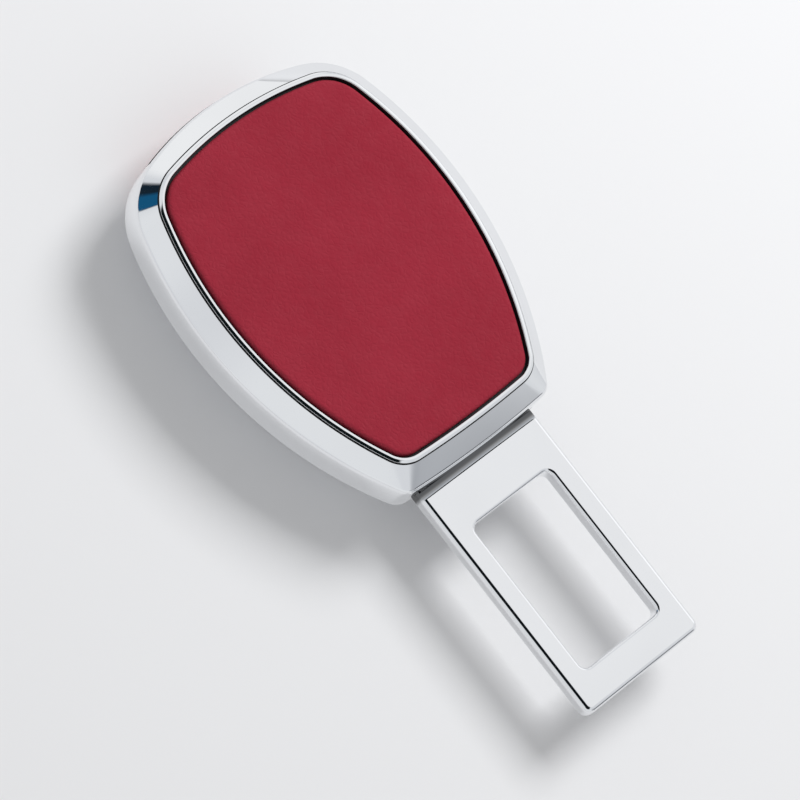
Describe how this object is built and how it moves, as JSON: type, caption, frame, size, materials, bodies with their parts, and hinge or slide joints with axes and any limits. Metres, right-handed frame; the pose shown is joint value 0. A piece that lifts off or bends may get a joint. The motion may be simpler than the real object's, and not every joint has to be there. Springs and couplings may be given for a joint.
{
  "type": "seat belt extender",
  "caption": "Seat belt extender: a leather-faced chrome buckle head with a release button, and a flat windowed tongue.",
  "frame": {"origin": "middle of the back panel's flat face, on which the head rests, half way along the head", "axes": "+X along the extender towards the tip of its tongue, +Y across it, +Z out of the front leather face"},
  "size_m": [0.1088, 0.0528, 0.0167],
  "materials": {
    "chrome_shell": "polished",
    "chrome_tongue": "polished",
    "red_leather": "fine grain",
    "panel_core": "matt",
    "black_plastic": "matt",
    "slider_plastic": "matt",
    "button_red": "satin",
    "frame_steel": "plated",
    "pin_steel": "ground",
    "spring_steel": "drawn wire",
    "screw_steel": "plated"
  },
  "bodies": {
    "head": {"front_shell": "chrome_shell", "back_shell": "chrome_shell", "front_leather": "red_leather", "back_leather": "red_leather", "front_panel_core": "panel_core", "back_panel_core": "panel_core", "mouth_guide": "black_plastic", "tongue_plate": "chrome_tongue", "buckle_frame": "frame_steel", "frame_rivet_left": "frame_steel", "frame_rivet_right": "frame_steel", "latch_pin": "pin_steel", "latch_spring": "spring_steel", "ejector_spring": "spring_steel", "button_spring_left": "spring_steel", "button_spring_right": "spring_steel", "housing_screw_1": "screw_steel", "housing_screw_2": "screw_steel", "housing_screw_3": "screw_steel", "housing_screw_4": "screw_steel"},
    "button": {"release_button": "button_red"},
    "latch": {"latch": "frame_steel"},
    "ejector": {"ejector": "slider_plastic"}
  },
  "joints": [
    {"name": "button_slide", "type": "slide", "parent": "head", "child": "button", "axis": [1, 0, 0], "range_m": [0, 0.004], "stiffness_N_per_m": 600, "springref_m": -0.002, "deforming": ["button_spring_left", "button_spring_right"]},
    {"name": "latch_hinge", "type": "hinge", "parent": "head", "child": "latch", "pos_m": [0.0045, 0, 0.0064], "axis": [0, -1, 0], "range_deg": [0, 8], "deforming": ["latch_spring"]},
    {"name": "ejector_slide", "type": "slide", "parent": "head", "child": "ejector", "axis": [1, 0, 0], "range_m": [0, 0.01], "stiffness_N_per_m": 300, "springref_m": -0.004, "deforming": ["ejector_spring"]}
  ],
  "couplings": [
    {"joint": "latch_hinge", "follows": "button_slide", "rad_per_m": 34.9}
  ]
}
